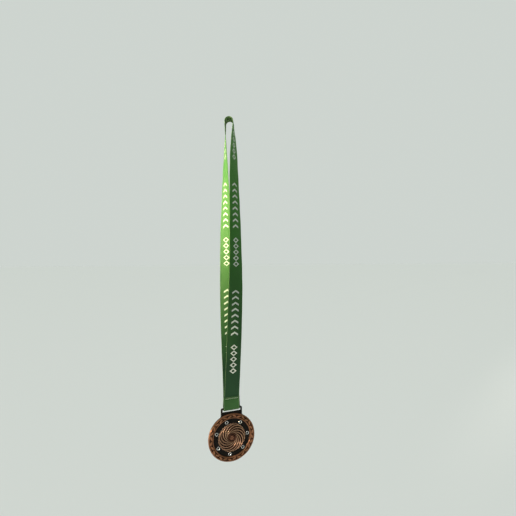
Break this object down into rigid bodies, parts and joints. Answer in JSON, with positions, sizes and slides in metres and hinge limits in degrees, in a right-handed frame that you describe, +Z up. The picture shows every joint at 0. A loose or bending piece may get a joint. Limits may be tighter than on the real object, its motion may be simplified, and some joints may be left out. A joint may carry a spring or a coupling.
{
  "type": "sports finisher medal",
  "caption": "Round cast finisher medal with a slotted hanger, hanging on a printed neck ribbon that loops over a peg and is sewn round the hanger's bar.",
  "frame": {"origin": "on the axis of the peg the ribbon hangs over, halfway across the ribbon's width", "axes": "+Z up along the hanging ribbon, +Y along the peg towards the wall behind, +X to the right of a viewer in front"},
  "size_m": [0.0655, 0.029, 0.4965],
  "materials": {
    "ribbon": "woven polyester satin, green, printed",
    "thread": "pale green sewing thread",
    "black_plate": "glossy black nickel plating on a zinc casting",
    "copper_plate": "antique copper plating, darkened in the recesses",
    "silver_plate": "bright nickel plating"
  },
  "bodies": {
    "ribbon_top": {"peg_loop": "ribbon", "strand_front_upper": "ribbon", "strand_back_upper": "ribbon"},
    "ribbon_neck": {"strand_front_lower": "ribbon", "strand_back_lower": "ribbon", "tab_inner": "ribbon", "tab_outer": "ribbon", "seam_thread": "thread"},
    "medal": {"base_plate": "black_plate", "rim_ring": "copper_plate", "rosette_disc": "copper_plate", "centre_boss": "copper_plate", "ring_stud_1": "silver_plate", "ring_stud_2": "silver_plate", "ring_stud_3": "silver_plate", "ring_stud_4": "silver_plate", "ring_stud_5": "silver_plate", "ring_stud_6": "silver_plate", "ring_stud_7": "silver_plate"}
  },
  "joints": [
    {"name": "ribbon_twist", "type": "hinge", "parent": "ribbon_top", "child": "ribbon_neck", "pos_m": [0, 0, -0.2], "axis": [0, 0, 1], "range_deg": [-90, 90], "stiffness_Nm_per_rad": 0.0002},
    {"name": "medal_swing", "type": "hinge", "parent": "ribbon_neck", "child": "medal", "pos_m": [0, 0, -0.413], "axis": [0.9272, 0.3746, 0], "range_deg": [-100, 100]}
  ]
}
